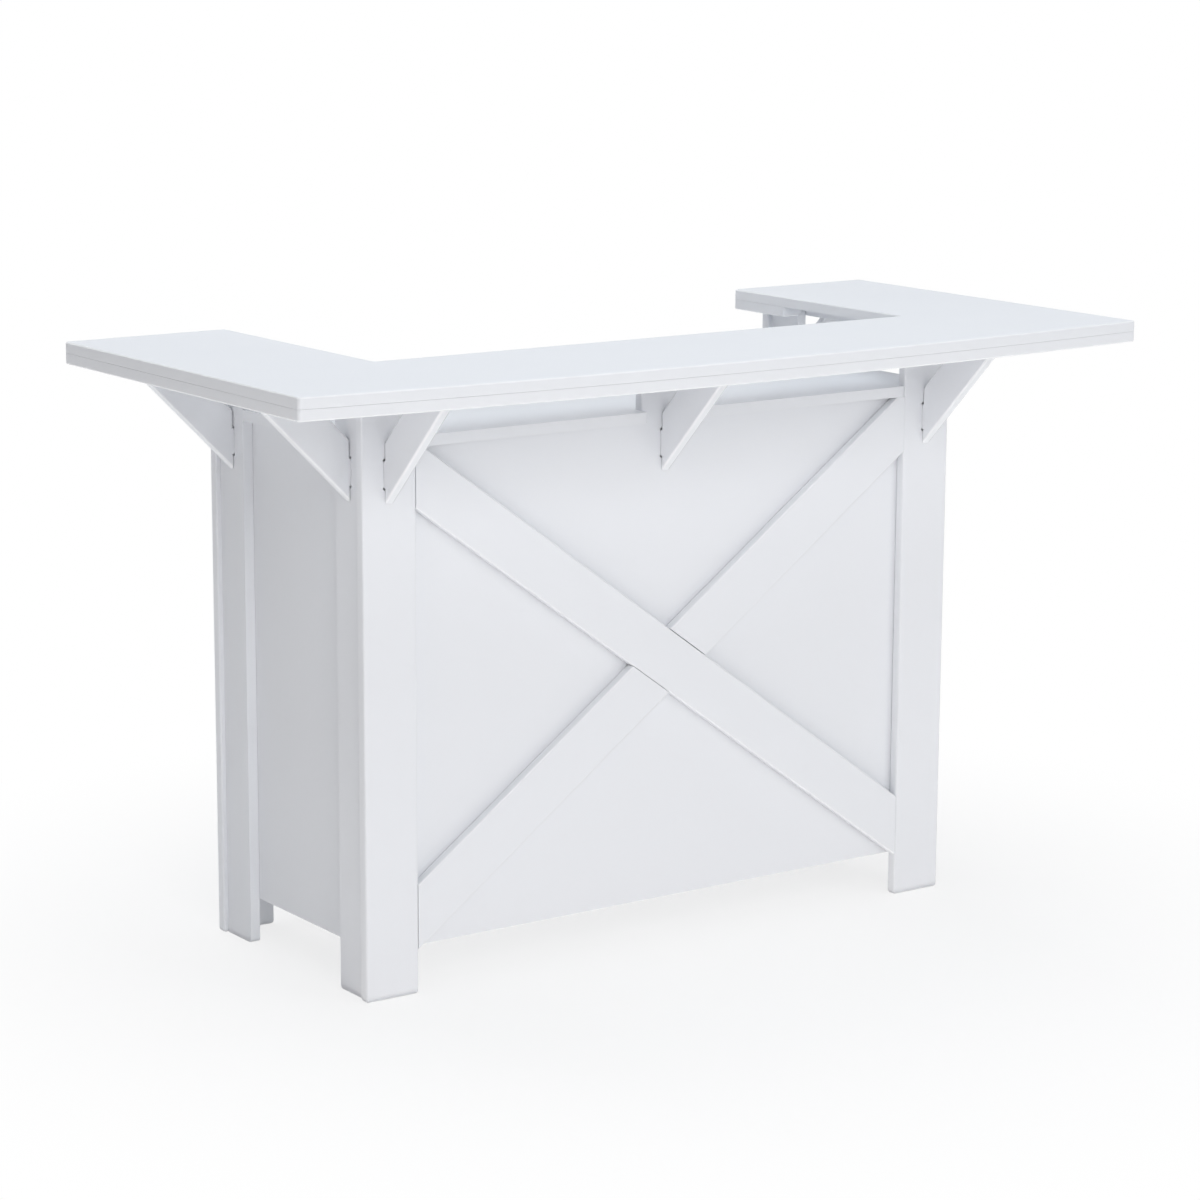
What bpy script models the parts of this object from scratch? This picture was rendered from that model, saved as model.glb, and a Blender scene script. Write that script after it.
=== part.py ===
"""Outdoor bar: a U-shaped counter with a bowed front, on a boxed stand of plastic sheet.

Every piece is cut from one thickness of white sheet. The front faces -Y, the open
back where the server stands faces +Y, and the origin is on the floor under the
middle of the counter.
"""

import math

import bpy
import bmesh
from mathutils import Vector

# Sheet stock, how its edges are worked, and the seam that stays between two pieces
SHEET = 0.01905
EDGE_ROUND = 0.0032
CORNER_ROUND = 0.00635
END_ROUND = 0.004
SEAM = 0.0003
ROUND_STEPS = 2
ARC_STEPS = 4

# Counter: a U-shaped sheet over a doubler sheet
COUNTER_HEIGHT = 1.067
COUNTER_WIDTH = 1.734
COUNTER_DEPTH = 0.828
FRONT_BOW = 0.045
BOW_STEPS = 32
SIDE_OVERHANG = 0.2458
FRONT_OVERHANG = 0.267
BACK_OVERHANG = 0.055
WING_LAP = 0.0353
RUN_LAP = 0.0232

# Stand under the counter
FACE_BOARD_WIDTH = 0.103
SIDE_BOARD_WIDTH = 0.080
FACE_PROUD = 0.0094
PANEL_CLEARANCE = 0.0765
TONGUE_WIDTH = 0.103
WORKTOP_DROP = 0.118

# Crossed braces on the front panel
BRACE_CUT = 0.1125
BRACE_TRIM = 0.011
BRACE_GAP = 0.001

# Brackets under the overhang, each with a tab in a relieved mortise
BRACKET_LEG = 0.187
BRACKET_STRAP = 0.102
BRACKET_ROUND = 0.00476
TAB_SHOULDER = 0.0268
TAB_HEIGHT = 0.04445
MORTISE_SLACK = 0.0005
RELIEF_RADIUS = 0.00397
RELIEF_OUT = 0.0015
RELIEF_STEPS = 6

# Storage inside the stand
CLEAT_HEIGHT = 0.0381
MID_SHELF_RISE = 0.406
MID_SHELF_SETBACK = 0.030

# Colours of the sheet, outside and in the shade of the stand
WHITE = (0.80, 0.81, 0.83)
WHITE_INSIDE = (0.78, 0.79, 0.81)
SHEET_ROUGHNESS = 0.45

# Heights that follow from the sizes above
COUNTER_SEAT = COUNTER_HEIGHT - SHEET - SEAM
DOUBLER_UNDERSIDE = COUNTER_SEAT - SHEET
BRACKET_TOP = DOUBLER_UNDERSIDE - SEAM
BRACKET_TIP = BRACKET_TOP - BRACKET_LEG
TAB_LOW = BRACKET_TIP + TAB_SHOULDER
TAB_HIGH = TAB_LOW + TAB_HEIGHT
TAB_ROOT = SEAM + 2 * BRACKET_ROUND
WORKTOP_HEIGHT = COUNTER_HEIGHT - WORKTOP_DROP
WORKTOP_UNDERSIDE = WORKTOP_HEIGHT - SHEET
UNDER_WORKTOP = WORKTOP_UNDERSIDE - SEAM
RAIL_HEIGHT = CLEAT_HEIGHT + SEAM + SHEET
DECK_TOP = PANEL_CLEARANCE + RAIL_HEIGHT
MID_SHELF_TOP = DECK_TOP + MID_SHELF_RISE

# Places across the bar that follow from them
HALF_WIDTH = COUNTER_WIDTH / 2
FACE_OUTER = HALF_WIDTH - SIDE_OVERHANG
FACE_INNER = FACE_OUTER - FACE_BOARD_WIDTH
SIDE_OUTER = FACE_OUTER - FACE_PROUD
SIDE_INNER = SIDE_OUTER - SHEET
PANEL_INNER = SIDE_INNER - SEAM - SHEET
INSIDE_WALL = PANEL_INNER - SEAM
BAY_INNER = SHEET / 2 + SEAM
BACK_NARROW = SIDE_INNER - FACE_PROUD
WING_INNER = SIDE_INNER - WING_LAP
HALF_TONGUE = TONGUE_WIDTH / 2

# Places from front to back that follow from them
BACK_Y = COUNTER_DEPTH / 2
BOW_Y = -BACK_Y
CORNER_Y = BOW_Y + FRONT_BOW
STAND_FRONT = BOW_Y + FRONT_OVERHANG
STAND_BACK = BACK_Y - BACK_OVERHANG
FRONT_FACE_REAR = STAND_FRONT + SHEET
PANEL_FRONT = FRONT_FACE_REAR + SEAM
PANEL_REAR = PANEL_FRONT + SHEET
RUN_BACK_Y = PANEL_REAR + RUN_LAP
FRONT_SIDE_REAR = PANEL_FRONT + SIDE_BOARD_WIDTH
BACK_FACE_FRONT = STAND_BACK - SHEET
BACK_SIDE_REAR = BACK_FACE_FRONT - SEAM
BACK_SIDE_FRONT = BACK_SIDE_REAR - SIDE_BOARD_WIDTH
INSIDE_FRONT = PANEL_REAR + SEAM
MID_SHELF_REAR = BACK_SIDE_REAR - MID_SHELF_SETBACK

CUTTER_REACH = 0.01
SMOOTH_ANGLE = math.radians(50)
QUARTER = math.pi / 2
TURNS = {
    "flat": (0, 0, 0),
    "front": (QUARTER, 0, 0),
    "side": (QUARTER, 0, QUARTER),
}


class Corner:
    """A corner of an outline. Soft means that the edge leaving it is rounded over."""

    def __init__(self, u, v, radius=0.0, soft=False):
        self.at = Vector((u, v))
        self.radius = radius
        self.soft = soft


def corner_arc(before, corner, after):
    """Points of the arc that rounds one corner, from its first tangent to its last."""
    back = (before.at - corner.at).normalized()
    ahead = (after.at - corner.at).normalized()
    half = back.angle(ahead) / 2
    centre = corner.at + (back + ahead).normalized() * (corner.radius / math.sin(half))
    start = corner.at + back * (corner.radius / math.tan(half)) - centre
    end = corner.at + ahead * (corner.radius / math.tan(half)) - centre
    sweep = start.angle_signed(end)
    first = math.atan2(start.y, start.x)
    arc = []
    for step in range(ARC_STEPS + 1):
        angle = first - sweep * step / ARC_STEPS
        spoke = Vector((math.cos(angle), math.sin(angle))) * corner.radius
        arc.append(centre + spoke)
    return arc


def trace(corners):
    """Points round an outline, each with the word on whether the edge after it is soft."""
    points = []
    for index, corner in enumerate(corners):
        if not corner.radius:
            points.append((corner.at, corner.soft))
            continue
        before = corners[index - 1]
        after = corners[(index + 1) % len(corners)]
        arc = corner_arc(before, corner, after)
        points += [(point, before.soft and corner.soft) for point in arc[:-1]]
        points.append((arc[-1], corner.soft))
    return points


def flipped(corners):
    """The same outline on the other hand."""
    return [Corner(-corner.at.x, corner.at.y, corner.radius, corners[index - 1].soft)
            for index, corner in reversed(list(enumerate(corners)))]


def mirrored(half):
    """Close an outline whose right half starts and ends on the centre line."""
    left = flipped(half)
    half[-1].soft = left[0].soft
    return half + left[1:-1]


def add_prism(points, thickness):
    """A prism over a traced outline, with the corners of its low and its high rim."""
    shape = bmesh.new()
    low = [shape.verts.new((point.x, point.y, 0.0)) for point, soft in points]
    high = [shape.verts.new((point.x, point.y, thickness)) for point, soft in points]
    shape.faces.new(list(reversed(low)))
    shape.faces.new(high)
    for index in range(len(points)):
        after = (index + 1) % len(points)
        shape.faces.new((low[index], low[after], high[after], high[index]))
    bmesh.ops.recalc_face_normals(shape, faces=shape.faces)
    return shape, low, high


def soft_edges(shape, points, rim):
    """The edges of one rim that are rounded over."""
    edges = []
    for index, (point, soft) in enumerate(points):
        if soft:
            edges.append(shape.edges.get((rim[index], rim[(index + 1) % len(rim)])))
    return edges


def add_object(name, shape, plane, low, thickness):
    """Put a finished shape in the scene, turned into its plane at its place."""
    mesh = bpy.data.meshes.new(name)
    shape.to_mesh(mesh)
    shape.free()
    piece = bpy.data.objects.new(name, mesh)
    bpy.context.scene.collection.objects.link(piece)
    piece.rotation_euler = TURNS[plane]
    piece.location = {
        "flat": (0, 0, low),
        "front": (0, low + thickness, 0),
        "side": (low, 0, 0),
    }[plane]
    return piece


def add_material(board, colour):
    material = bpy.data.materials.new(board.name + "_sheet")
    material.use_nodes = True
    shader = material.node_tree.nodes["Principled BSDF"]
    shader.inputs["Base Color"].default_value = (*colour, 1.0)
    shader.inputs["Roughness"].default_value = SHEET_ROUGHNESS
    shader.inputs["Metallic"].default_value = 0.0
    board.data.materials.append(material)


def cut_board(name, corners, plane, low, colour=WHITE, rims="both", rounding=EDGE_ROUND):
    """A board cut from sheet.

    Its outline is drawn in X and Y ("flat"), X and Z ("front") or Y and Z ("side"),
    low is its lowest place across its thickness, rims says which of its two faces
    have rounded edges, and rounding is the radius of those edges.
    """
    points = trace(corners)
    shape, low_rim, high_rim = add_prism(points, SHEET)
    edges = []
    if rims in ("both", "bottom"):
        edges += soft_edges(shape, points, low_rim)
    if rims in ("both", "top"):
        edges += soft_edges(shape, points, high_rim)
    if edges:
        bmesh.ops.bevel(shape, geom=edges, offset=rounding, offset_type="OFFSET",
                        segments=ROUND_STEPS, profile=0.5, affect="EDGES", clamp_overlap=True)
    board = add_object(name, shape, plane, low, SHEET)
    add_material(board, colour)
    board.data.shade_smooth()
    board.data.set_sharp_from_angle(angle=SMOOTH_ANGLE)
    weighting = board.modifiers.new("flat_faces_stay_flat", "WEIGHTED_NORMAL")
    weighting.keep_sharp = True
    return board


def combine(board, tool, operation):
    """Cut a shape out of a board, or join it to the board, ahead of the board's shading."""
    tool.hide_render = True
    tool.display_type = "WIRE"
    change = board.modifiers.new(tool.name, "BOOLEAN")
    change.operation = operation
    change.solver = "EXACT"
    change.object = tool
    board.modifiers.move(board.modifiers.find(tool.name), 0)


def cut_through(board, name, corners, plane, low):
    """Cut an outline right through a board."""
    reach = SHEET + 2 * CUTTER_REACH
    shape = add_prism(trace(corners), reach)[0]
    combine(board, add_object(name, shape, plane, low - CUTTER_REACH, reach), "DIFFERENCE")


def relieved_slot(u, v, half_u, half_v):
    """A slot with a relief drilled past both sides of each of its corners, so a square tab seats."""
    dip = math.acos(1 - RELIEF_OUT / RELIEF_RADIUS)
    corners = []
    for end in (1, -1):
        for side in (end, -end):
            centre = Vector((u + side * (half_u + RELIEF_OUT - RELIEF_RADIUS), v + end * half_v))
            level = 0.0 if end > 0 else math.pi
            first = level - dip if side == end else level
            for step in range(RELIEF_STEPS + 1):
                angle = first + (math.pi + dip) * step / RELIEF_STEPS
                corners.append(Corner(centre.x + RELIEF_RADIUS * math.cos(angle),
                                      centre.y + RELIEF_RADIUS * math.sin(angle)))
    return corners


def cut_mortise(board, name, across, plane, low):
    """The mortise that takes a bracket's tab."""
    middle = (TAB_LOW + TAB_HIGH) / 2
    slot = relieved_slot(across, middle, SHEET / 2 + MORTISE_SLACK, TAB_HEIGHT / 2 + MORTISE_SLACK)
    cut_through(board, name, slot, plane, low)


def bow_y(x):
    """Y of the bowed front edge, an arc through the two front corners."""
    radius = (HALF_WIDTH ** 2 + FRONT_BOW ** 2) / (2 * FRONT_BOW)
    return BOW_Y + radius - math.sqrt(radius ** 2 - x ** 2)


def outer_edge():
    """Right half of the counter's outer edge, from the middle of the bow to the wing's end."""
    edge = []
    for step in range(BOW_STEPS // 2):
        x = HALF_WIDTH * 2 * step / BOW_STEPS
        edge.append(Corner(x, bow_y(x), 0.0, True))
    edge.append(Corner(HALF_WIDTH, CORNER_Y, CORNER_ROUND, True))
    edge.append(Corner(HALF_WIDTH, BACK_Y, CORNER_ROUND, True))
    edge.append(Corner(WING_INNER, BACK_Y, CORNER_ROUND, True))
    return edge


def make_counter():
    """The U-shaped top sheet, and the doubler that grips the posts and thickens the edge."""
    top = outer_edge() + [
        Corner(WING_INNER, RUN_BACK_Y, CORNER_ROUND, True),
        Corner(0.0, RUN_BACK_Y, 0.0, True),
    ]
    cut_board("counter_top", mirrored(top), "flat", COUNTER_HEIGHT - SHEET, rims="top")

    inner = SIDE_INNER - SEAM
    outer = SIDE_OUTER + SEAM
    back_post = [
        Corner(inner, BACK_SIDE_FRONT),
        Corner(inner, BACK_FACE_FRONT - SEAM),
        Corner(BACK_NARROW - SEAM, BACK_FACE_FRONT - SEAM),
        Corner(BACK_NARROW - SEAM, STAND_BACK + SEAM),
        Corner(FACE_OUTER + SEAM, STAND_BACK + SEAM),
        Corner(FACE_OUTER + SEAM, BACK_FACE_FRONT - SEAM),
        Corner(outer, BACK_FACE_FRONT - SEAM),
    ]
    front_post = [
        Corner(outer, FRONT_FACE_REAR + SEAM),
        Corner(FACE_OUTER + SEAM, FRONT_FACE_REAR + SEAM),
        Corner(FACE_OUTER + SEAM, STAND_FRONT - SEAM),
        Corner(FACE_INNER - SEAM, STAND_FRONT - SEAM),
        Corner(FACE_INNER - SEAM, FRONT_FACE_REAR + SEAM),
        Corner(inner, FRONT_FACE_REAR + SEAM),
    ]
    under = outer_edge() + [Corner(WING_INNER, BACK_SIDE_FRONT, CORNER_ROUND, True)]
    under += back_post + front_post
    under += [Corner(inner, RUN_BACK_Y, 0.0, True), Corner(0.0, RUN_BACK_Y, 0.0, True)]
    doubler = cut_board("counter_doubler", mirrored(under), "flat", DOUBLER_UNDERSIDE, rims="bottom")
    slot = relieved_slot((PANEL_FRONT + PANEL_REAR) / 2, 0.0,
                         SHEET / 2 + MORTISE_SLACK, HALF_TONGUE + MORTISE_SLACK)
    across = [Corner(-corner.at.y, corner.at.x) for corner in slot]
    cut_through(doubler, "tongue_slot", across, "flat", DOUBLER_UNDERSIDE)


def exposed_edge(u, rising):
    """An upright edge, rounded only where the worktop and the doubler leave it bare."""
    heights = (UNDER_WORKTOP, WORKTOP_HEIGHT, DOUBLER_UNDERSIDE)
    if rising:
        return [Corner(u, z, 0.0, z == WORKTOP_HEIGHT) for z in heights]
    return [Corner(u, z, 0.0, z != WORKTOP_HEIGHT) for z in reversed(heights)]


def make_front_post(side, word):
    """Front corner post: a wide face board, and a side board behind it."""
    outline = [
        Corner(FACE_INNER, 0.0, CORNER_ROUND, True),
        Corner(FACE_OUTER, 0.0, CORNER_ROUND, True),
        Corner(FACE_OUTER, DOUBLER_UNDERSIDE),
        Corner(FACE_OUTER, COUNTER_SEAT),
        Corner(FACE_INNER, COUNTER_SEAT),
        Corner(FACE_INNER, DOUBLER_UNDERSIDE, 0.0, True),
    ]
    face = cut_board("post_front_" + word + "_face", outline if side > 0 else flipped(outline),
                     "front", STAND_FRONT)
    cut_mortise(face, "mortise_front_" + word, side * (FACE_INNER + FACE_OUTER) / 2, "front", STAND_FRONT)

    low = SIDE_INNER if side > 0 else -SIDE_OUTER
    outline = [
        Corner(PANEL_FRONT, 0.0, 0.0, True),
        Corner(FRONT_SIDE_REAR, 0.0, CORNER_ROUND, True),
        *exposed_edge(FRONT_SIDE_REAR, True),
        Corner(FRONT_SIDE_REAR, COUNTER_SEAT),
        Corner(PANEL_FRONT, COUNTER_SEAT),
    ]
    board = cut_board("post_front_" + word + "_side", outline, "side", low)
    cut_mortise(board, "mortise_" + word + "_front", (PANEL_FRONT + FRONT_SIDE_REAR) / 2, "side", low)


def make_back_post(side, word):
    """Back corner post: its face board is narrow above the worktop, which laps over the wide part."""
    outline = [
        Corner(FACE_INNER, 0.0, CORNER_ROUND, True),
        Corner(FACE_OUTER, 0.0, CORNER_ROUND, True),
        Corner(FACE_OUTER, DOUBLER_UNDERSIDE),
        Corner(FACE_OUTER, COUNTER_SEAT),
        Corner(BACK_NARROW, COUNTER_SEAT),
        Corner(BACK_NARROW, DOUBLER_UNDERSIDE, 0.0, True),
        Corner(BACK_NARROW, WORKTOP_HEIGHT),
        Corner(BACK_NARROW, UNDER_WORKTOP),
        Corner(FACE_INNER, UNDER_WORKTOP, 0.0, True),
    ]
    cut_board("post_back_" + word + "_face", outline if side > 0 else flipped(outline),
              "front", BACK_FACE_FRONT)

    low = SIDE_INNER if side > 0 else -SIDE_OUTER
    outline = [
        Corner(BACK_SIDE_FRONT, 0.0, CORNER_ROUND, True),
        Corner(BACK_SIDE_REAR, 0.0),
        Corner(BACK_SIDE_REAR, COUNTER_SEAT),
        Corner(BACK_SIDE_FRONT, COUNTER_SEAT),
        *exposed_edge(BACK_SIDE_FRONT, False),
    ]
    board = cut_board("post_back_" + word + "_side", outline, "side", low)
    cut_mortise(board, "mortise_" + word + "_back", (BACK_SIDE_FRONT + BACK_SIDE_REAR) / 2, "side", low)


def make_panels():
    """Front panel, whose tongue carries the middle bracket, and the two side panels."""
    reach = SIDE_INNER - SEAM
    half = [
        Corner(0.0, PANEL_CLEARANCE, 0.0, True),
        Corner(reach, PANEL_CLEARANCE),
        Corner(reach, UNDER_WORKTOP),
        Corner(HALF_TONGUE, UNDER_WORKTOP),
        Corner(HALF_TONGUE, WORKTOP_HEIGHT, 0.0, True),
        Corner(HALF_TONGUE, DOUBLER_UNDERSIDE),
        Corner(HALF_TONGUE, COUNTER_SEAT),
        Corner(0.0, COUNTER_SEAT),
    ]
    front = cut_board("front_panel", mirrored(half), "front", PANEL_FRONT)
    cut_mortise(front, "mortise_front_centre", 0.0, "front", PANEL_FRONT)

    outline = [
        Corner(INSIDE_FRONT, PANEL_CLEARANCE, 0.0, True),
        Corner(BACK_SIDE_REAR, PANEL_CLEARANCE),
        Corner(BACK_SIDE_REAR, UNDER_WORKTOP),
        Corner(INSIDE_FRONT, UNDER_WORKTOP),
    ]
    cut_board("side_panel_left", outline, "side", -PANEL_INNER - SHEET)
    cut_board("side_panel_right", outline, "side", PANEL_INNER)


def make_worktop():
    """The server's worktop, notched round the posts and the tongue, with its edges flush outside."""
    tongue = HALF_TONGUE + SEAM
    face = FACE_INNER - SEAM
    inner = SIDE_INNER - SEAM
    narrow = BACK_NARROW - SEAM
    nest = EDGE_ROUND + SEAM
    half = [
        Corner(0.0, INSIDE_FRONT),
        Corner(tongue, INSIDE_FRONT),
        Corner(tongue, PANEL_FRONT, 0.0, True),
        Corner(tongue, STAND_FRONT, END_ROUND, True),
        Corner(face, STAND_FRONT, END_ROUND, True),
        Corner(face, FRONT_FACE_REAR + SEAM, nest),
        Corner(inner, FRONT_FACE_REAR + SEAM),
        Corner(inner, FRONT_SIDE_REAR + SEAM),
        Corner(SIDE_OUTER, FRONT_SIDE_REAR + SEAM, 0.0, True),
        Corner(SIDE_OUTER, BACK_SIDE_FRONT - SEAM),
        Corner(inner, BACK_SIDE_FRONT - SEAM),
        Corner(inner, BACK_SIDE_REAR),
        Corner(narrow, BACK_SIDE_REAR),
        Corner(narrow, STAND_BACK, 0.0, True),
        Corner(0.0, STAND_BACK, 0.0, True),
    ]
    cut_board("worktop", mirrored(half), "flat", WORKTOP_UNDERSIDE)


def make_braces():
    """One brace from corner to corner, and two halves cut to meet it in the middle."""
    reach = FACE_INNER - SEAM
    top = UNDER_WORKTOP
    untrimmed = top + BRACE_TRIM
    middle = (untrimmed + PANEL_CLEARANCE) / 2
    slope = (untrimmed - PANEL_CLEARANCE - BRACE_CUT) / (2 * reach)
    half = BRACE_CUT / 2
    trimmed = (top - half - middle) / slope
    meet = half / slope
    apart = BRACE_GAP / slope

    cut_board("brace_long", [
        Corner(-reach, middle + slope * reach - half, 0.0, True),
        Corner(reach, PANEL_CLEARANCE),
        Corner(reach, PANEL_CLEARANCE + BRACE_CUT, 0.0, True),
        Corner(-trimmed, top),
        Corner(-reach, top),
    ], "front", STAND_FRONT)
    cut_board("brace_lower_left", [
        Corner(-reach, PANEL_CLEARANCE, 0.0, True),
        Corner(-apart / 2, middle - half - BRACE_GAP / 2),
        Corner(-meet - apart / 2, middle - BRACE_GAP / 2, 0.0, True),
        Corner(-reach, PANEL_CLEARANCE + BRACE_CUT),
    ], "front", STAND_FRONT)
    cut_board("brace_upper_right", [
        Corner(meet + apart / 2, middle + BRACE_GAP / 2, 0.0, True),
        Corner(reach, middle + slope * reach - half),
        Corner(reach, top),
        Corner(trimmed, top, 0.0, True),
        Corner(apart / 2, middle + half + BRACE_GAP / 2),
    ], "front", STAND_FRONT)


def make_bracket(name, plane, seat, outward, across):
    """An angled strap from a board's face out under the doubler, held by a tab through the board.

    seat is the face that it stands on, outward the sign of the way it reaches, and across
    the middle of its thickness. The tab keeps its square edges, so the strap's rounding
    ends in a step above it and below it.
    """
    inner = BRACKET_LEG - BRACKET_STRAP
    low = across - SHEET / 2

    def corner(out, z, radius=0.0, soft=False):
        return Corner(seat + outward * out, z, radius, soft)

    strap = [
        corner(SEAM, BRACKET_TIP, soft=True),
        corner(SEAM + BRACKET_LEG, BRACKET_TOP),
        corner(SEAM + inner, BRACKET_TOP, soft=True),
        corner(SEAM, BRACKET_TOP - inner, CORNER_ROUND, soft=True),
    ]
    tab = [
        corner(-SHEET, TAB_LOW),
        corner(TAB_ROOT, TAB_LOW),
        corner(TAB_ROOT, TAB_HIGH),
        corner(-SHEET, TAB_HIGH),
    ]
    bracket = cut_board(name, strap, plane, low, rounding=BRACKET_ROUND)
    shape = add_prism(trace(tab), SHEET)[0]
    combine(bracket, add_object(name + "_tab", shape, plane, low, SHEET), "UNION")


def make_brackets():
    """Three brackets under the front overhang and two under each wing."""
    face_middle = (FACE_INNER + FACE_OUTER) / 2
    make_bracket("bracket_front_left", "side", STAND_FRONT, -1, -face_middle)
    make_bracket("bracket_front_right", "side", STAND_FRONT, -1, face_middle)
    make_bracket("bracket_front_centre", "side", PANEL_FRONT, -1, 0.0)
    for side, word in ((-1, "left"), (1, "right")):
        seat = side * SIDE_OUTER
        make_bracket("bracket_" + word + "_front", "front", seat, side, (PANEL_FRONT + FRONT_SIDE_REAR) / 2)
        make_bracket("bracket_" + word + "_back", "front", seat, side, (BACK_SIDE_FRONT + BACK_SIDE_REAR) / 2)


def make_rails():
    """Rails across the open back, between the posts."""
    reach = FACE_INNER - SEAM
    cut_board("back_rail_bottom", [
        Corner(-reach, PANEL_CLEARANCE, 0.0, True),
        Corner(reach, PANEL_CLEARANCE),
        Corner(reach, DECK_TOP, 0.0, True),
        Corner(-reach, DECK_TOP),
    ], "front", BACK_FACE_FRONT)
    cut_board("back_rail_top", [
        Corner(-reach, UNDER_WORKTOP - RAIL_HEIGHT, 0.0, True),
        Corner(reach, UNDER_WORKTOP - RAIL_HEIGHT),
        Corner(reach, UNDER_WORKTOP),
        Corner(-reach, UNDER_WORKTOP),
    ], "front", BACK_FACE_FRONT)


def make_shelf(name, side, top, rear, nosed):
    """A shelf across one bay, between the divider and a side panel."""
    low, high = sorted((side * BAY_INNER, side * INSIDE_WALL))
    cut_board(name, [
        Corner(low, INSIDE_FRONT),
        Corner(high, INSIDE_FRONT),
        Corner(high, rear, 0.0, nosed),
        Corner(low, rear),
    ], "flat", top - SHEET, WHITE_INSIDE)


def make_shelves():
    """The divider, with a deck and a middle shelf on each side of it."""
    cut_board("centre_divider", [
        Corner(INSIDE_FRONT, PANEL_CLEARANCE, 0.0, True),
        Corner(BACK_SIDE_REAR, PANEL_CLEARANCE, 0.0, True),
        Corner(BACK_SIDE_REAR, UNDER_WORKTOP),
        Corner(INSIDE_FRONT, UNDER_WORKTOP),
    ], "side", -SHEET / 2, WHITE_INSIDE)
    for side, word in ((-1, "left"), (1, "right")):
        make_shelf("deck_" + word, side, DECK_TOP, BACK_SIDE_REAR, False)
        make_shelf("mid_shelf_" + word, side, MID_SHELF_TOP, MID_SHELF_REAR, True)


def make_cleat(name, low, high, top, plane, depth):
    """A batten under a shelf."""
    cut_board(name, [
        Corner(low, top - CLEAT_HEIGHT, 0.0, True),
        Corner(high, top - CLEAT_HEIGHT),
        Corner(high, top),
        Corner(low, top),
    ], plane, depth, WHITE_INSIDE)


def make_cleats():
    """Battens that carry the decks, the middle shelves and the worktop."""
    behind_front = INSIDE_FRONT + SHEET + SEAM
    under_deck = DECK_TOP - SHEET - SEAM
    under_mid = MID_SHELF_TOP - SHEET - SEAM
    for side, word in ((-1, "left"), (1, "right")):
        wall = INSIDE_WALL - SHEET if side > 0 else -INSIDE_WALL
        divider = BAY_INNER if side > 0 else -BAY_INNER - SHEET
        ends = sorted((side * BAY_INNER, side * INSIDE_WALL))
        between = sorted((side * (BAY_INNER + SHEET + SEAM), side * (INSIDE_WALL - SHEET - SEAM)))
        deck = "deck_cleat_" + word
        make_cleat(deck + "_wall", INSIDE_FRONT, BACK_SIDE_REAR, under_deck, "side", wall)
        make_cleat(deck + "_divider", INSIDE_FRONT, BACK_SIDE_REAR, under_deck, "side", divider)
        make_cleat(deck + "_front", *between, under_deck, "front", INSIDE_FRONT)
        make_cleat(deck + "_back", *between, under_deck, "front", BACK_SIDE_REAR - SHEET)
        mid = "mid_cleat_" + word
        make_cleat(mid + "_wall", INSIDE_FRONT, MID_SHELF_REAR, under_mid, "side", wall)
        make_cleat(mid + "_divider", INSIDE_FRONT, MID_SHELF_REAR, under_mid, "side", divider)
        worktop = "worktop_cleat_" + word
        make_cleat(worktop + "_front", *ends, UNDER_WORKTOP, "front", INSIDE_FRONT)
        make_cleat(worktop + "_wall", behind_front, BACK_SIDE_REAR, UNDER_WORKTOP, "side", wall)


def main():
    for old in list(bpy.data.objects):
        bpy.data.objects.remove(old, do_unlink=True)
    make_counter()
    for side, word in ((-1, "left"), (1, "right")):
        make_front_post(side, word)
        make_back_post(side, word)
    make_panels()
    make_worktop()
    make_braces()
    make_brackets()
    make_rails()
    make_shelves()
    make_cleats()

    bar = bpy.data.objects.new("bar", None)
    bpy.context.scene.collection.objects.link(bar)
    for piece in bpy.data.objects:
        if piece is not bar:
            piece.parent = bar


main()
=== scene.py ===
# %% [markdown]
# # An outdoor bar cut from white plastic sheet
# The real bar is cut on a router from one thickness of white plastic sheet, and screwed together
# from inside. The solids of its boards are already modelled to size, so this notebook adds what the
# eye needs: smooth shading, the sheet's finish, the screws, a floor, light and the camera. The solids
# come in first, each one named for its board, and the screws are placed from their boxes.

# %% Load the boards
import math

import bmesh
import bpy
from mathutils import Matrix, Vector


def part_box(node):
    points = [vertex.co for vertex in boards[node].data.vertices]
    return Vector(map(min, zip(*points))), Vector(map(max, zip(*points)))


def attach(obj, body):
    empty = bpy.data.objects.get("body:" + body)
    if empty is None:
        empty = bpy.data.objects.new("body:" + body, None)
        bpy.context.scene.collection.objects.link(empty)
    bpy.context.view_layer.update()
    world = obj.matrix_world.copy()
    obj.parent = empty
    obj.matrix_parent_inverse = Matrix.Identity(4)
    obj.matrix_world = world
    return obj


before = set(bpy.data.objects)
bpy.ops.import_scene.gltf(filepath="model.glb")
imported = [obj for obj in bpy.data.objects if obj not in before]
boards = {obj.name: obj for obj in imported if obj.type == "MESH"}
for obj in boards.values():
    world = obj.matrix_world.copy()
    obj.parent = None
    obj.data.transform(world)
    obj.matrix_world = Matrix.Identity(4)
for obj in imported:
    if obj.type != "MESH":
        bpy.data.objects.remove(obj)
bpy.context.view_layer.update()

# %% [markdown]
# ## Smooth roundings on flat boards
# Each board arrives as loose flat triangles, so the roundings along its edges would show their
# facets. The shading could be set by hand in each mesh, but these meshes have to stay as they are.
# A small Geometry Nodes group does it instead, as a modifier: it forgets the flat normals that came
# with the triangles, joins the triangles where they touch, shades them smooth, and keeps an edge
# sharp where it turns by more than a chosen angle.

# %% A modifier that joins the triangles and shades the roundings
JOIN_DISTANCE = 0.00001
SHARP_TURN = math.radians(48)


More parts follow.
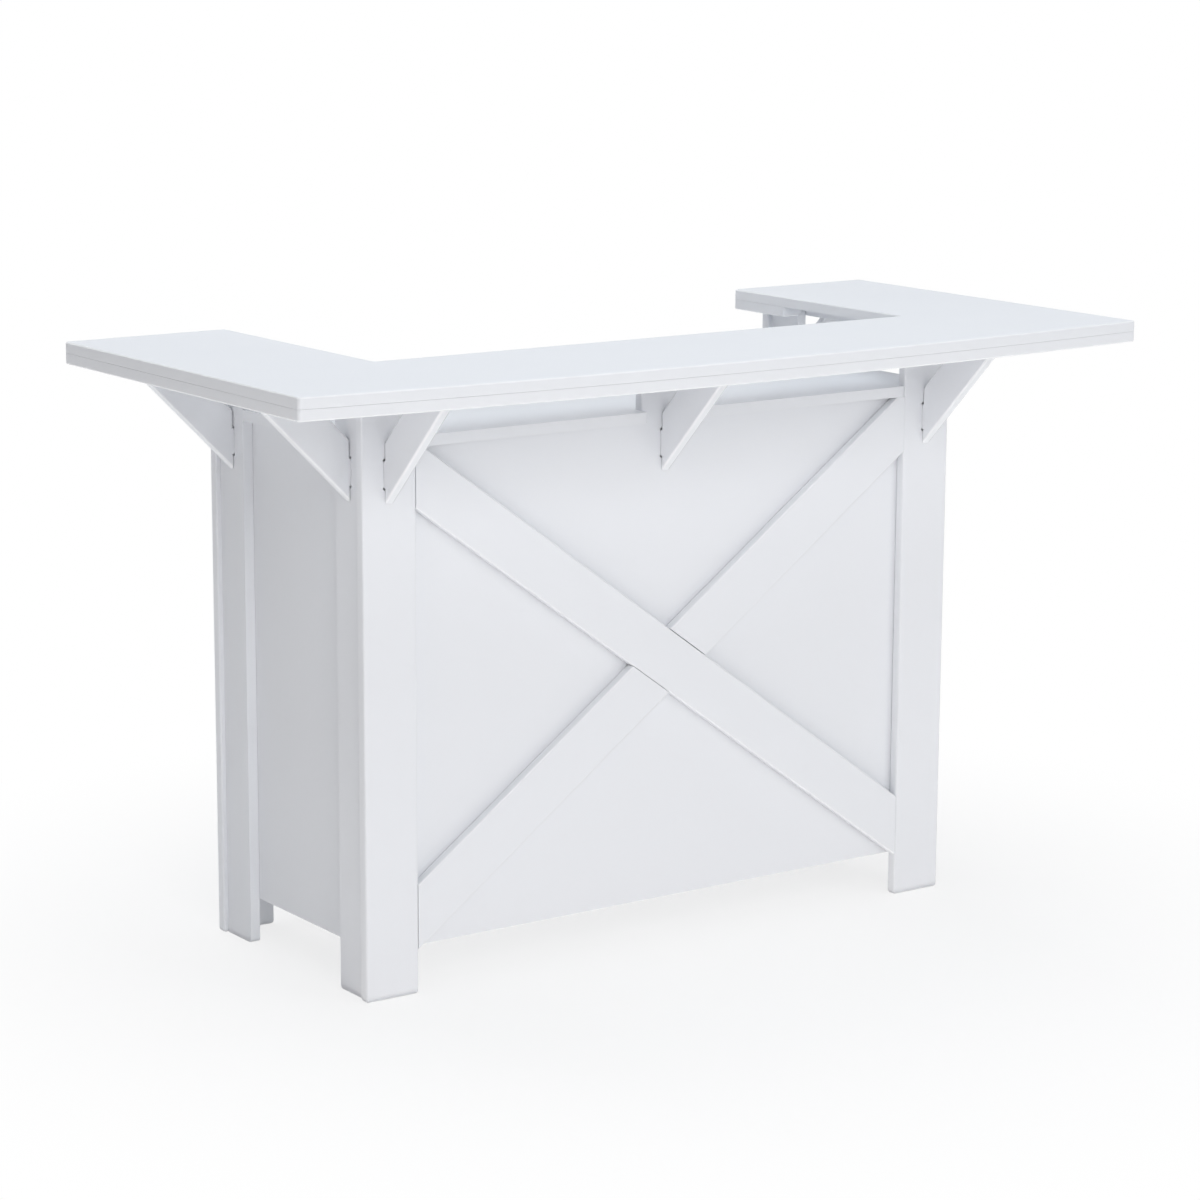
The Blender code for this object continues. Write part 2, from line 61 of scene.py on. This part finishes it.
def make_shading_group():
    """Geometry nodes that weld a board's triangles and shade it smooth up to its sharp edges."""
    group = bpy.data.node_groups.new("board_shading", "GeometryNodeTree")
    for end in ("INPUT", "OUTPUT"):
        group.interface.new_socket("Geometry", in_out=end, socket_type="NodeSocketGeometry")
    entry = group.nodes.new("NodeGroupInput")
    leave = group.nodes.new("NodeGroupOutput")
    forget = group.nodes.new("GeometryNodeRemoveAttribute")
    forget.inputs["Name"].default_value = "custom_normal"
    weld = group.nodes.new("GeometryNodeMergeByDistance")
    weld.inputs["Distance"].default_value = JOIN_DISTANCE
    smooth = group.nodes.new("GeometryNodeSetShadeSmooth")
    sharp = group.nodes.new("GeometryNodeSetShadeSmooth")
    sharp.domain = "EDGE"
    sharp.inputs["Shade Smooth"].default_value = False
    angle = group.nodes.new("GeometryNodeInputMeshEdgeAngle")
    turn = group.nodes.new("FunctionNodeCompare")
    turn.operation = "GREATER_THAN"
    turn.inputs["B"].default_value = SHARP_TURN
    group.links.new(angle.outputs["Unsigned Angle"], turn.inputs["A"])
    group.links.new(turn.outputs["Result"], sharp.inputs["Selection"])
    steps = [entry, forget, weld, smooth, sharp, leave]
    for before, after in zip(steps, steps[1:]):
        group.links.new(before.outputs["Geometry"], after.inputs["Geometry"])
    return group


shading_group = make_shading_group()
for board in boards.values():
    shading = board.modifiers.new("board_shading", "NODES")
    shading.node_group = shading_group
print("shaded", len(boards), "boards with", shading_group.name)

# %% [markdown]
# ## Flat faces that stay flat
# Smooth shading leans a face's normals towards the roundings beside it, and large flat boards would
# look pillowed. Their roundings could be split into more rows, but the meshes stay as they are. A
# Weighted Normal modifier lets each face count by its size instead, so the large flat faces decide.

# %% Weigh the normals by the size of their faces
for board in boards.values():
    weighting = board.modifiers.new("flat_faces_stay_flat", "WEIGHTED_NORMAL")
    weighting.keep_sharp = True
print("weighed the normals of", len(boards), "boards")

# %% [markdown]
# ## Writing a material as arithmetic
# A finish is easier to read as a sum than as a drawing of nodes. One small class wraps a socket and
# gives it the usual operators, each of which adds a Math node. Python calls the reflected forms when
# the number stands on the left, so 1 - mask works too. Colours and vectors don't go through Math,
# which would turn them grey, and use Mix and Vector Math instead.

# %% A socket with operators
class Socket:
    """The output of a node in a tree, or of an expression on such outputs."""

    def __init__(self, nodes, output):
        self.nodes = nodes
        self.output = output

    def maths(self, operation, *values):
        """Add a Math node that works on these values or links."""
        return self.nodes.node("ShaderNodeMath", {"operation": operation}, dict(enumerate(values)))

    def __add__(self, other):
        return self.maths("ADD", self, other)

    def __radd__(self, other):
        return self.maths("ADD", other, self)

    def __sub__(self, other):
        return self.maths("SUBTRACT", self, other)

    def __rsub__(self, other):
        return self.maths("SUBTRACT", other, self)

    def __mul__(self, other):
        return self.maths("MULTIPLY", self, other)

    def __rmul__(self, other):
        return self.maths("MULTIPLY", other, self)

    def __abs__(self):
        return self.maths("ABSOLUTE", self)


operators = [name for name, value in vars(Socket).items() if callable(value) and name.startswith("__")]
print("operators:", ", ".join(name.strip("_") for name in operators if name != "__init__"))

# %% [markdown]
# ## Trees that make their own nodes
# Written out by hand, each node takes several lines. Here every node comes from one method: it takes
# the node's type, then its settings, then the values or links of its sockets. Settings go first,
# because a node can change its sockets when they are set. A material and the world are both such
# trees, and a material adds its shader.

# %% A tree that makes nodes, and a material
class Nodes:
    """A tree of shader nodes, and the ways to add to it."""

    def __init__(self, tree):
        self.tree = tree

    def feed(self, socket, value):
        """Link a socket to a wrapped output, or set its plain value."""
        if isinstance(value, Socket):
            self.tree.links.new(value.output, socket)
        else:
            socket.default_value = value

    def node(self, kind, settings=None, values=None, output=0):
        """Add a node: its settings first, then the values and links of its sockets."""
        made = self.tree.nodes.new(kind)
        for key, value in (settings or {}).items():
            setattr(made, key, value)
        for key, value in (values or {}).items():
            self.feed(made.inputs[key], value)
        return Socket(self, made.outputs[output])

    def mix(self, share, first, second):
        """The first colour, going over to the second as share goes from 0 to 1."""
        # A Mix node has sockets for every kind of value: 6 and 7 take the colours, and 2 gives one.
        return self.node("ShaderNodeMix", {"data_type": "RGBA"}, {0: share, 6: first, 7: second}, 2)

    def noise(self, place, scale, detail=2.0):
        """Soft random values around 0.5, finer as the scale rises."""
        return self.node("ShaderNodeTexNoise", {}, {"Vector": place, "Scale": scale, "Detail": detail})

    def split(self, vector, axis):
        """One part of a vector: its X, Y or Z, for axis 0, 1 or 2."""
        return self.node("ShaderNodeSeparateXYZ", {}, {0: vector}, axis)

    def bump(self, height):
        """Normals for a relief whose height is in metres."""
        return self.node("ShaderNodeBump", {}, {"Height": height, "Distance": 1.0, "Strength": 1.0})

    def ramp(self, value, low, high):
        """0 below low and 1 above high, with a soft start and end between them."""
        values = {"Value": value, "From Min": low, "From Max": high}
        return self.node("ShaderNodeMapRange", {"interpolation_type": "SMOOTHSTEP"}, values)

    def end(self, output_name, result):
        """Make a wrapped shader the one that the tree's output shows."""
        self.feed(self.tree.nodes[output_name].inputs["Surface"], result)


class Finish(Nodes):
    """A material, and the nodes that make it."""

    def __init__(self, name):
        self.material = bpy.data.materials.new(name)
        self.material.use_nodes = True
        super().__init__(self.material.node_tree)
        self.shader = self.tree.nodes["Principled BSDF"]

    def surface(self, values):
        """Feed the shader's sockets."""
        for key, value in values.items():
            self.feed(self.shader.inputs[key], value)
        return self.material


print("ways to build a tree:", ", ".join(name for name in vars(Nodes) if not name.startswith("__")))

# %% [markdown]
# ## The white sheet
# The sheet comes from the mill with a fine pebbled skin, and the router leaves its edges cut
# smooth, with short cutter marks across the thickness. Two materials could be set face by face, but
# one finish with a mask follows the shape by itself: where the normal points along the board's
# thickness it is skin, and elsewhere it is a cut edge. The thickness runs along X, Y or Z, and each
# direction gets its own copy of the finish. The white drifts by about a hundredth from place to
# place, and the feet pick up a trace of dust. Where an edge is rounded over, the cutter burnishes
# it, so the roundings that look up or down get a clear coat. Their colour is also made lighter, a
# painted highlight, so they show as a light line.

# %% The colours and the masks of the sheet
SKIN_WHITE = (0.810, 0.823, 0.850, 1.0)
SKIN_SHADE = (0.794, 0.808, 0.836, 1.0)
EDGE_WHITE = (0.812, 0.825, 0.850, 1.0)
# A painted highlight: the roundings that look up or down are drawn this much lighter than the sheet.
ROUNDING_PAINTED_HIGHLIGHT = (0.905, 0.912, 0.928, 1.0)
DUST = (0.55, 0.52, 0.48, 1.0)
DRIFT_SCALE = 2.3
SKIN_NORMAL = (0.90, 0.995)
ROUNDING_NORMAL = (0.15, 0.4)
DUST_TOP = 0.015
DUST_SCALE = 60.0
DUST_PATCHES = (0.45, 0.75)
DUST_SHARE = 0.06


def mask_skin(sheet, axis):
    """Two masks of 0 to 1: the pebbled skin, and the roundings that look up or down."""
    normal = sheet.node("ShaderNodeNewGeometry", output="Normal")
    facing = abs(sheet.split(normal, axis))
    upright = abs(sheet.split(normal, 2))
    skin = sheet.ramp(facing, *SKIN_NORMAL)
    turned = sheet.ramp(facing, *ROUNDING_NORMAL) * sheet.ramp(upright, *ROUNDING_NORMAL)
    return skin, turned * (1 - skin)


def mask_dust(sheet, place):
    """A mask of dust in patches, thick at the floor and gone above the feet."""
    low = 1 - sheet.ramp(sheet.split(place, 2), 0.0, DUST_TOP)
    return low * sheet.ramp(sheet.noise(place, DUST_SCALE, detail=5.0), *DUST_PATCHES)


def colour_sheet(sheet, place, skin, rounding, dust):
    """The white of the skin and of the cut edges, a painted highlight on the roundings, under a trace of
    dust.
    """
    colour = sheet.mix(sheet.noise(place, DRIFT_SCALE), SKIN_WHITE, SKIN_SHADE)
    colour = sheet.mix(1 - skin, colour, EDGE_WHITE)
    # Painted highlight: the roundings that look up or down are lightened in colour.
    colour = sheet.mix(rounding, colour, ROUNDING_PAINTED_HIGHLIGHT)
    return sheet.mix(dust * DUST_SHARE, colour, DUST)


print("all skin where the normal is", SKIN_NORMAL[1], "along the thickness, none under", SKIN_NORMAL[0])

# %% [markdown]
# ## The feel of the sheet
# The pebbles and the cutter marks are at most a few hundredths of a millimetre deep. They could be
# cut into the mesh with very many faces, but a Bump node draws them in the shading alone. Noise makes
# both: even noise for the pebbles, and noise drawn out along the thickness for the marks. Hands and
# dust dull the sheet in places, so the roughness drifts too. The thickness of a board is the
# shortest side of its box, and tells which of the three finishes it takes.

# %% The finish of the skin and of the cut edges
SKIN_ROUGHNESS = 0.46
EDGE_ROUGHNESS = 0.36
COAT_ROUGHNESS = 0.25
HANDLING_SCALE = 9.0
HANDLING_ROUGHNESS = 0.10
DUST_ROUGHNESS = 0.2
PEBBLE_SCALE = 900.0
PEBBLE_HEIGHT = 0.00003
CUTTER_SCALE = 1400.0
CUTTER_HEIGHT = 0.00001
CUTTER_STRETCH = 0.02


def cut_relief(sheet, place, skin, axis):
    """The height of the pebbles on the skin, and of the cutter marks on the cut edges."""
    squeeze = [1.0, 1.0, 1.0]
    squeeze[axis] = CUTTER_STRETCH
    across = sheet.node("ShaderNodeVectorMath", {"operation": "MULTIPLY"}, {0: place, 1: squeeze})
    pebbles = sheet.noise(place, PEBBLE_SCALE, detail=1.0)
    cuts = sheet.noise(across, CUTTER_SCALE, detail=0.0)
    return skin * pebbles * PEBBLE_HEIGHT + (1 - skin) * cuts * CUTTER_HEIGHT


def make_sheet(axis):
    """The sheet's finish on boards whose thickness runs along X, Y or Z: axis 0, 1 or 2."""
    sheet = Finish("white_sheet_" + "xyz"[axis])
    place = sheet.node("ShaderNodeTexCoord", output="Object")
    skin, rounding = mask_skin(sheet, axis)
    dust = mask_dust(sheet, place)
    handled = sheet.noise(place, HANDLING_SCALE, detail=4.0)
    roughness = skin * (SKIN_ROUGHNESS - EDGE_ROUGHNESS) + EDGE_ROUGHNESS
    return sheet.surface({
        "Base Color": colour_sheet(sheet, place, skin, rounding, dust),
        "Roughness": roughness + (handled - 0.5) * HANDLING_ROUGHNESS + dust * DUST_ROUGHNESS,
        "Coat Weight": rounding,
        "Coat Roughness": COAT_ROUGHNESS,
        "Normal": sheet.bump(cut_relief(sheet, place, skin, axis)),
    })


def thin_axis(board_name):
    """The axis that a board's thickness runs along."""
    low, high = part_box(board_name)
    extent = high - low
    return min(range(3), key=lambda axis: extent[axis])


sheets = [make_sheet(axis) for axis in range(3)]
for name, board in boards.items():
    board.data.materials.clear()
    board.data.materials.append(sheets[thin_axis(name)])
for axis, sheet in enumerate(sheets):
    count = sum(thin_axis(name) == axis for name in boards)
    print(sheet.name, "on", count, "boards")

# %% [markdown]
# ## Stainless steel
# Screws that stay outdoors are stainless steel. A metal has a Metallic of 1, and its look is all
# reflection. One plain roughness would look too clean, so fine noise in the roughness and in the
# normals gives the grain of used steel, and coarser noise stains it.

# %% The finish of the screws
STEEL_LIGHT = (0.66, 0.66, 0.65, 1.0)
STEEL_DARK = (0.54, 0.54, 0.53, 1.0)
STEEL_ROUGHNESS = 0.26
STAIN_SCALE = 240.0
GRAIN_SCALE = 2600.0
GRAIN_ROUGHNESS = 0.16
GRAIN_HEIGHT = 0.00001


def make_steel():
    """The finish of the screws: stained and finely grained metal."""
    steel = Finish("stainless_steel")
    place = steel.node("ShaderNodeTexCoord", output="Object")
    stain = steel.noise(place, STAIN_SCALE, detail=3.0)
    grain = steel.noise(place, GRAIN_SCALE, detail=1.0)
    return steel.surface({
        "Base Color": steel.mix(stain, STEEL_LIGHT, STEEL_DARK),
        "Metallic": 1.0,
        "Roughness": STEEL_ROUGHNESS + grain * GRAIN_ROUGHNESS,
        "Normal": steel.bump(grain * GRAIN_HEIGHT),
    })


steel = make_steel()
print(steel.name, "has", len(steel.node_tree.nodes), "nodes")

# %% [markdown]
# ## Screw heads
# A builder keeps the screws off the faces that a guest sees, and runs them through the battens, the
# decks and the hidden sides of the boards. The head is low and domed, with a six-lobed socket. A
# Boolean could cut the socket, but it would leave long thin triangles in the dome. So the head is
# made of rings, as a lathe would turn it, and the rings inside the socket follow the lobes. The rings
# are skinned with quads and closed at both ends, so each head is one closed body.

# %% A screw head
HEAD_RADIUS = 0.0045
HEAD_RIM = 0.0006
HEAD_HEIGHT = 0.0022
HEAD_SINK = 0.0002
SOCKET_RADIUS = 0.0019
SOCKET_LOBE = 0.0003
SOCKET_FLOOR = 0.0007
LOBES = 6
TURN_STEPS = 24
DOME_STEPS = 4


def head_profile():
    """Rings of the head as (radius, depth of the lobes, height), from its base to the socket's floor."""
    rings = [(HEAD_RADIUS, 0.0, -HEAD_SINK), (HEAD_RADIUS, 0.0, HEAD_RIM)]
    inner = SOCKET_RADIUS + SOCKET_LOBE
    for step in range(1, DOME_STEPS + 1):
        radius = HEAD_RADIUS + (inner - HEAD_RADIUS) * step / DOME_STEPS
        rise = math.sqrt(1 - (radius / HEAD_RADIUS) ** 2)
        rings.append((radius, 0.0, HEAD_RIM + (HEAD_HEIGHT - HEAD_RIM) * rise))
    rings.append((SOCKET_RADIUS, SOCKET_LOBE, rings[-1][2]))
    rings.append((SOCKET_RADIUS, SOCKET_LOBE, SOCKET_FLOOR))
    return rings


def add_screw(shape, place, direction, spin):
    """Skin one head into a mesh, standing at a place and pointing along a direction."""
    turn = direction.to_track_quat("Z", "Y").to_matrix().to_4x4() @ Matrix.Rotation(spin, 4, "Z")
    rings = []
    for radius, lobe, height in head_profile():
        ring = []
        for step in range(TURN_STEPS):
            angle = 2 * math.pi * step / TURN_STEPS
            reach = radius + lobe * math.cos(LOBES * angle)
            point = turn @ Vector((reach * math.cos(angle), reach * math.sin(angle), height))
            ring.append(shape.verts.new(place + point))
        rings.append(ring)
    shape.faces.new(list(reversed(rings[0])))
    shape.faces.new(rings[-1])
    for low, high in zip(rings, rings[1:]):
        for step in range(TURN_STEPS):
            after = (step + 1) % TURN_STEPS
            shape.faces.new((low[step], low[after], high[after], high[step]))


print("a head has", len(head_profile()), "rings of", TURN_STEPS, "points")

# %% [markdown]
# ## Many screws in one piece
# The bar has 124 screws, and an object for each would crowd the list of objects. So each list of
# places makes one piece, and the battens' screws or the counter's can be picked as one. Real screws
# never stop at the same angle, so each head is turned a little further than the last.

# %% A piece made of many screws
SPIN_STEP = 0.7
HEAD_TURN = math.radians(35)


def add_screws(name, places):
    """One piece with a screw head at every (place, direction)."""
    shape = bmesh.new()
    for index, (place, direction) in enumerate(places):
        add_screw(shape, Vector(place), Vector(direction), index * SPIN_STEP)
    mesh = bpy.data.meshes.new(name)
    shape.to_mesh(mesh)
    shape.free()
    mesh.shade_smooth()
    mesh.set_sharp_from_angle(angle=HEAD_TURN)
    mesh.materials.append(steel)
    screws = bpy.data.objects.new(name, mesh)
    bpy.context.scene.collection.objects.link(screws)
    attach(screws, "root")
    print(name, len(places), "screws,", len(mesh.polygons), "faces")


print("each head is turned", SPIN_STEP, "radians further than the last")

# %% [markdown]
# ## Screws of the shelves and of the battens
# A shelf lies on its battens and is screwed down into them, and each batten is screwed to the wall
# that it stands on. The places could be typed in one by one, but then the screws would stay behind if
# a board changed. So they are worked out from the boxes of the boards that they go through, and a
# share of the batten's length says where each one sits: near both ends, and in the middle.

# %% Screws of the shelves and of the battens
SHARES = (0.12, 0.5, 0.88)
SIDES = ((-1, "left"), (1, "right"))


def along(low, high, share):
    """The value that lies a share of the way from low to high."""
    return low + (high - low) * share


def shelf_places(shelf_name, batten_names):
    """Down through a shelf into the battens under it."""
    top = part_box(shelf_name)[1].z
    places = []
    for batten in batten_names:
        low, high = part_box(batten)
        for share in SHARES:
            x = along(low.x, high.x, share if thin_axis(batten) == 1 else 0.5)
            y = along(low.y, high.y, share if thin_axis(batten) == 0 else 0.5)
            places.append(((x, y, top), (0, 0, 1)))
    return places


def batten_places(batten, face):
    """Through a batten into its wall: face is the sign of the side that the heads are on."""
    low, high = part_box(batten)
    axis = thin_axis(batten)
    z = along(low.z, high.z, 0.5)
    edge = high[axis] if face > 0 else low[axis]
    if axis == 0:
        return [((edge, along(low.y, high.y, share), z), (face, 0, 0)) for share in SHARES]
    return [((along(low.x, high.x, share), edge, z), (0, face, 0)) for share in SHARES]


for side, word in SIDES:
    wall, divider = "_cleat_" + word + "_wall", "_cleat_" + word + "_divider"
    places = shelf_places("deck_" + word, ["deck" + wall, "deck" + divider])
    places += shelf_places("mid_shelf_" + word, ["mid" + wall, "mid" + divider])
    add_screws("screws_shelves_" + word, places)
    places = batten_places("mid" + wall, -side) + batten_places("mid" + divider, side)
    places += batten_places("worktop" + wall, -side)
    places += batten_places("worktop_cleat_" + word + "_front", 1)
    places += batten_places("deck" + wall, -side) + batten_places("deck" + divider, side)
    add_screws("screws_battens_" + word, places)

# %% [markdown]
# ## Screws behind the posts and the braces
# The posts and the braces are held from inside. Their screws come through the panels, in two columns
# on each side panel, and along the back of each brace. Places under a shelf, a batten or the divider
# could be left out by a test, but that would leave holes in the rows. So the heights and the shares
# are picked to miss those boards, and a count against their boxes tells if one covers a screw.

# %% Screws through the panels
COLUMN_HEIGHTS = (0.19, 0.33, 0.66, 0.80)
COLUMN_SHARE = 0.6
BRACE_SHARES = (0.06, 0.16, 0.28, 0.40, 0.60, 0.72, 0.84, 0.94)
HALF_BRACE = 0.056
CLEAR = 0.008


def is_covered(place, own_board):
    """True if another board lies over a place on its own board's face."""
    for name in boards:
        low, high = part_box(name)
        inside = all(low[axis] - CLEAR < place[axis] < high[axis] + CLEAR for axis in range(3))
        if inside and name != own_board and not name.startswith(("brace", "post")):
            return True
    return False


def add_panel_screws(name, panel, places):
    """Screws through a panel, and a count of those that another board covers."""
    add_screws(name, places)
    print(sum(is_covered(place, panel) for place, direction in places), "of them are covered")


for side, word in SIDES:
    low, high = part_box("side_panel_" + word)
    x = high.x if side < 0 else low.x
    places = []
    for post in ("post_front_" + word + "_side", "post_back_" + word + "_side"):
        post_low, post_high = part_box(post)
        y = along(post_low.y, post_high.y, COLUMN_SHARE)
        places += [((x, y, z), (-side, 0, 0)) for z in COLUMN_HEIGHTS]
    add_panel_screws("screws_posts_" + word, "side_panel_" + word, places)

inner_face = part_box("front_panel")[1].y
brace_low, brace_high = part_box("brace_long")
places = []
for rising in (False, True):
    for share in BRACE_SHARES:
        x = along(brace_low.x, brace_high.x, share)
        z = along(brace_low.z + HALF_BRACE, brace_high.z - HALF_BRACE, share if rising else 1 - share)
        places.append(((x, inner_face, z), (0, 1, 0)))
add_panel_screws("screws_braces", "front_panel", places)

# %% [markdown]
# ## Screws under the counter
# The doubler is screwed up into the counter's top from below, where only a child would see it. One
# row follows the bowed front, one runs along the stand, and each wing has two. Even spacing would run
# the rows into the brackets, which stand against the same face, so the places are picked to step
# round them, and each row keeps its distance from its edge.

# %% Screws under the counter
EDGE_INSET = 0.05
FRONT_BOW = 0.045
FRONT_ROW = (0.11, 0.31, 0.46, 0.70, 0.81)
STAND_ROW = (0.16, 0.40, 0.72)
OUTER_WING_ROW = (-0.16, 0.02, 0.20, 0.36)
INNER_WING_ROW = (-0.02, 0.11, 0.23, 0.36)

under_low, under_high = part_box("counter_doubler")
stand_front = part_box("post_front_left_face")[0].y
post_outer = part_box("post_front_right_face")[1].x
places = []
for side in (-1, 1):
    for x in FRONT_ROW:
        bow = FRONT_BOW * (x / under_high.x) ** 2
        places.append((side * x, under_low.y + bow + EDGE_INSET))
    places += [(side * x, stand_front - EDGE_INSET) for x in STAND_ROW]
    places += [(side * (under_high.x - EDGE_INSET), y) for y in OUTER_WING_ROW]
    places += [(side * (post_outer + EDGE_INSET), y) for y in INNER_WING_ROW]
add_screws("screws_counter", [((x, y, under_low.z), (0, 0, -1)) for x, y in places])

# %% [markdown]
# ## Floor and background
# The bar stands on a pale studio floor and keeps a soft shadow near its feet. A studio rolls its paper
# up behind the object to hide the horizon. Here a Mix Shader does it: what the camera sees of the
# floor is mostly the background's white near the bar, and all of it further out. Light Path tells
# the camera's rays, and those of reflections, from the rays that light the bar, so the white
# background adds no light to it.

# %% Floor and background
FLOOR_HALF = 12.0
FLOOR_COLOUR = (0.92, 0.92, 0.92, 1.0)
FADE_START = 0.5
FADE_END = 1.6
FLOOR_LIFT = 0.72
BACKGROUND = (1.0, 1.0, 1.0, 1.0)
SPECKLE_SCALE = 40.0
SPECKLE_SHARE = 0.1
FLOOR_ROUGHNESS = 0.9
SPECKLE_ROUGHNESS = 0.05


def seen_directly(nodes):
    """A wrapped value of 1 for the rays of the camera, of reflections and of clear materials."""
    seen = nodes.node("ShaderNodeLightPath", output="Is Camera Ray")
    rays = seen.output.node.outputs
    for ray in ("Is Glossy Ray", "Is Transmission Ray"):
        seen = seen.maths("MAXIMUM", seen, Socket(nodes, rays[ray]))
    return seen


def make_floor_finish():
    """A pale matt floor, which the camera sees go over to white with distance from the bar."""
    floor = Finish("studio_floor")
    place = floor.node("ShaderNodeTexCoord", output="Object")
    distance = floor.node("ShaderNodeVectorMath", {"operation": "LENGTH"}, {0: place}, "Value")
    speckle = floor.noise(place, SPECKLE_SCALE, detail=3.0)
    floor.surface({
        "Base Color": floor.mix(speckle * SPECKLE_SHARE, FLOOR_COLOUR, BACKGROUND),
        "Roughness": FLOOR_ROUGHNESS + speckle * SPECKLE_ROUGHNESS,
    })
    glow = floor.node("ShaderNodeEmission", {}, {"Color": BACKGROUND, "Strength": 1.0})
    share = floor.ramp(distance, FADE_START, FADE_END) * (1 - FLOOR_LIFT) + FLOOR_LIFT
    share = share * seen_directly(floor)
    lit = Socket(floor, floor.shader.outputs[0])
    floor.end("Material Output", floor.node("ShaderNodeMixShader", {}, {0: share, 1: lit, 2: glow}))
    return floor.material


mesh = bpy.data.meshes.new("floor")
corners = [(x * FLOOR_HALF, y * FLOOR_HALF, 0.0) for x, y in ((-1, -1), (1, -1), (1, 1), (-1, 1))]
mesh.from_pydata(corners, [], [(0, 1, 2, 3)])
mesh.materials.append(make_floor_finish())
floor = bpy.data.objects.new("floor", mesh)
bpy.context.scene.collection.objects.link(floor)
print("floor", 2 * FLOOR_HALF, "m across, white from", FADE_END, "m out")

# %% [markdown]
# ## Studio light
# The light is soft and comes from several sides, at a plain level. Two high lamps, at the front left
# and the front right, give the front its level and leave the left faces a step darker. A wide lamp
# overhead gives the counter's top its cool white, and a lamp behind lights the open back. A white
# studio floor throws much light back up, so two wide faint lamps lie on it and shine upwards: they
# brighten the sloping edges of the brackets and all roundings that look down. One lies a little
# higher, because two lamps at the same height would cover each other. A weak warm lamp at the left
# reaches in under the counter. The lamps stay out of reflections, or they would draw a glare along
# the counter when it is seen from behind. The world fills in a little from above only, so that the
# floor isn't lit from its edges: the height of a direction drives a ramp from black.

# %% World and lamps
WORLD_LIGHT = (0.162, 0.167, 0.182, 1.0)
DARK = (0.0, 0.0, 0.0, 1.0)
SKY_START = 0.1
SKY_END = 0.6
AIM = Vector((0.0, 0.0, 0.6))
UP = Vector((0.0, 0.0, 1.0))
WHITE_LIGHT = (1.0, 1.0, 1.0)
NEAR_WHITE_LIGHT = (0.99, 0.99, 1.0)
COOL_LIGHT = (0.91, 0.96, 1.0)
WARM_LIGHT = (1.0, 0.90, 0.80)
WARMER_LIGHT = (1.0, 0.86, 0.78)


def make_world():
    """Soft light from above, and plain white where the camera or a reflection sees past the bar."""
    world = bpy.data.worlds.new("studio")
    world.use_nodes = True
    bpy.context.scene.world = world
    studio = Nodes(world.node_tree)
    way = studio.node("ShaderNodeTexCoord", output="Generated")
    rise = studio.ramp(studio.split(way, 2), SKY_START, SKY_END)
    sky = studio.mix(rise, DARK, WORLD_LIGHT)
    light = studio.node("ShaderNodeBackground", {}, {"Color": sky, "Strength": 1.0})
    plain = studio.node("ShaderNodeBackground", {}, {"Color": BACKGROUND, "Strength": 1.0})
    mixed = studio.node("ShaderNodeMixShader", {}, {0: seen_directly(studio), 1: light, 2: plain})
    studio.end("World Output", mixed)


def add_lamp(name, place, size, power, colour, way=None):
    """A square soft lamp, itself unseen, that faces the bar or shines another way."""
    light = bpy.data.lights.new(name, "AREA")
    light.shape = "SQUARE"
    light.size = size
    light.energy = power
    light.color = colour
    lamp = bpy.data.objects.new(name, light)
    lamp.location = place
    if way is None:
        way = AIM - lamp.location
    lamp.rotation_euler = way.to_track_quat("-Z", "Y").to_euler()
    lamp.visible_camera = False
    lamp.visible_glossy = False
    bpy.context.scene.collection.objects.link(lamp)
    print(name, "at", place, "with", power, "W")


make_world()
add_lamp("front_right_lamp", (2.6, -4.6, 3.4), size=3.0, power=61.0, colour=WHITE_LIGHT)
add_lamp("front_left_lamp", (-2.4, -5.4, 3.6), size=3.0, power=124.0, colour=NEAR_WHITE_LIGHT)
add_lamp("low_left_lamp", (-6.5, -2.0, 0.6), size=3.0, power=29.0, colour=WARMER_LIGHT)
add_lamp("overhead_lamp", (0.0, 0.0, 6.0), size=6.0, power=195.0, colour=COOL_LIGHT)
add_lamp("floor_lamp", (-0.6, -1.4, 0.001), size=7.0, power=31.0, colour=WHITE_LIGHT, way=UP)
add_lamp("front_floor_lamp", (-0.4, -2.6, 0.005), size=5.0, power=17.5, colour=WARM_LIGHT, way=UP)
add_lamp("back_lamp", (0.0, 6.5, 2.0), size=4.0, power=200.0, colour=WHITE_LIGHT)

# %% [markdown]
# ## The camera
# The photograph was taken from the bar's front left with a long lens, at the height of a standing
# person's eyes. The corners of the bar in it fix the camera: its place, the way it looks, a slight
# tilt and its lens. A constraint could aim a camera at the bar, but it would leave out the tilt. So
# the three directions are worked out from the angles and become the columns of the camera's matrix.

# %% Camera
CAMERA_PLACE = (-3.499, -4.9057, 1.8357)
CAMERA_YAW = 0.61331
CAMERA_PITCH = -0.20371
CAMERA_ROLL = 0.00469
LENS = 104.463
SENSOR = 36.0


def add_camera():
    """A camera at the photograph's place, turned by its yaw, its pitch and its roll."""
    ahead = Vector((
        math.sin(CAMERA_YAW) * math.cos(CAMERA_PITCH),
        math.cos(CAMERA_YAW) * math.cos(CAMERA_PITCH),
        math.sin(CAMERA_PITCH),
    ))
    level = Vector((math.cos(CAMERA_YAW), -math.sin(CAMERA_YAW), 0.0))
    upright = level.cross(ahead)
    right = level * math.cos(CAMERA_ROLL) + upright * math.sin(CAMERA_ROLL)
    up = upright * math.cos(CAMERA_ROLL) - level * math.sin(CAMERA_ROLL)
    data = bpy.data.cameras.new("camera")
    data.lens = LENS
    data.sensor_width = SENSOR
    camera = bpy.data.objects.new("camera", data)
    turn = Matrix((right, up, -ahead)).transposed().to_4x4()
    camera.matrix_world = Matrix.Translation(CAMERA_PLACE) @ turn
    bpy.context.scene.collection.objects.link(camera)
    bpy.context.scene.camera = camera
    return camera


camera = add_camera()
bpy.context.scene.view_settings.view_transform = "Standard"
print("camera at", tuple(camera.location), "with a lens of", LENS, "mm")

# %% [markdown]
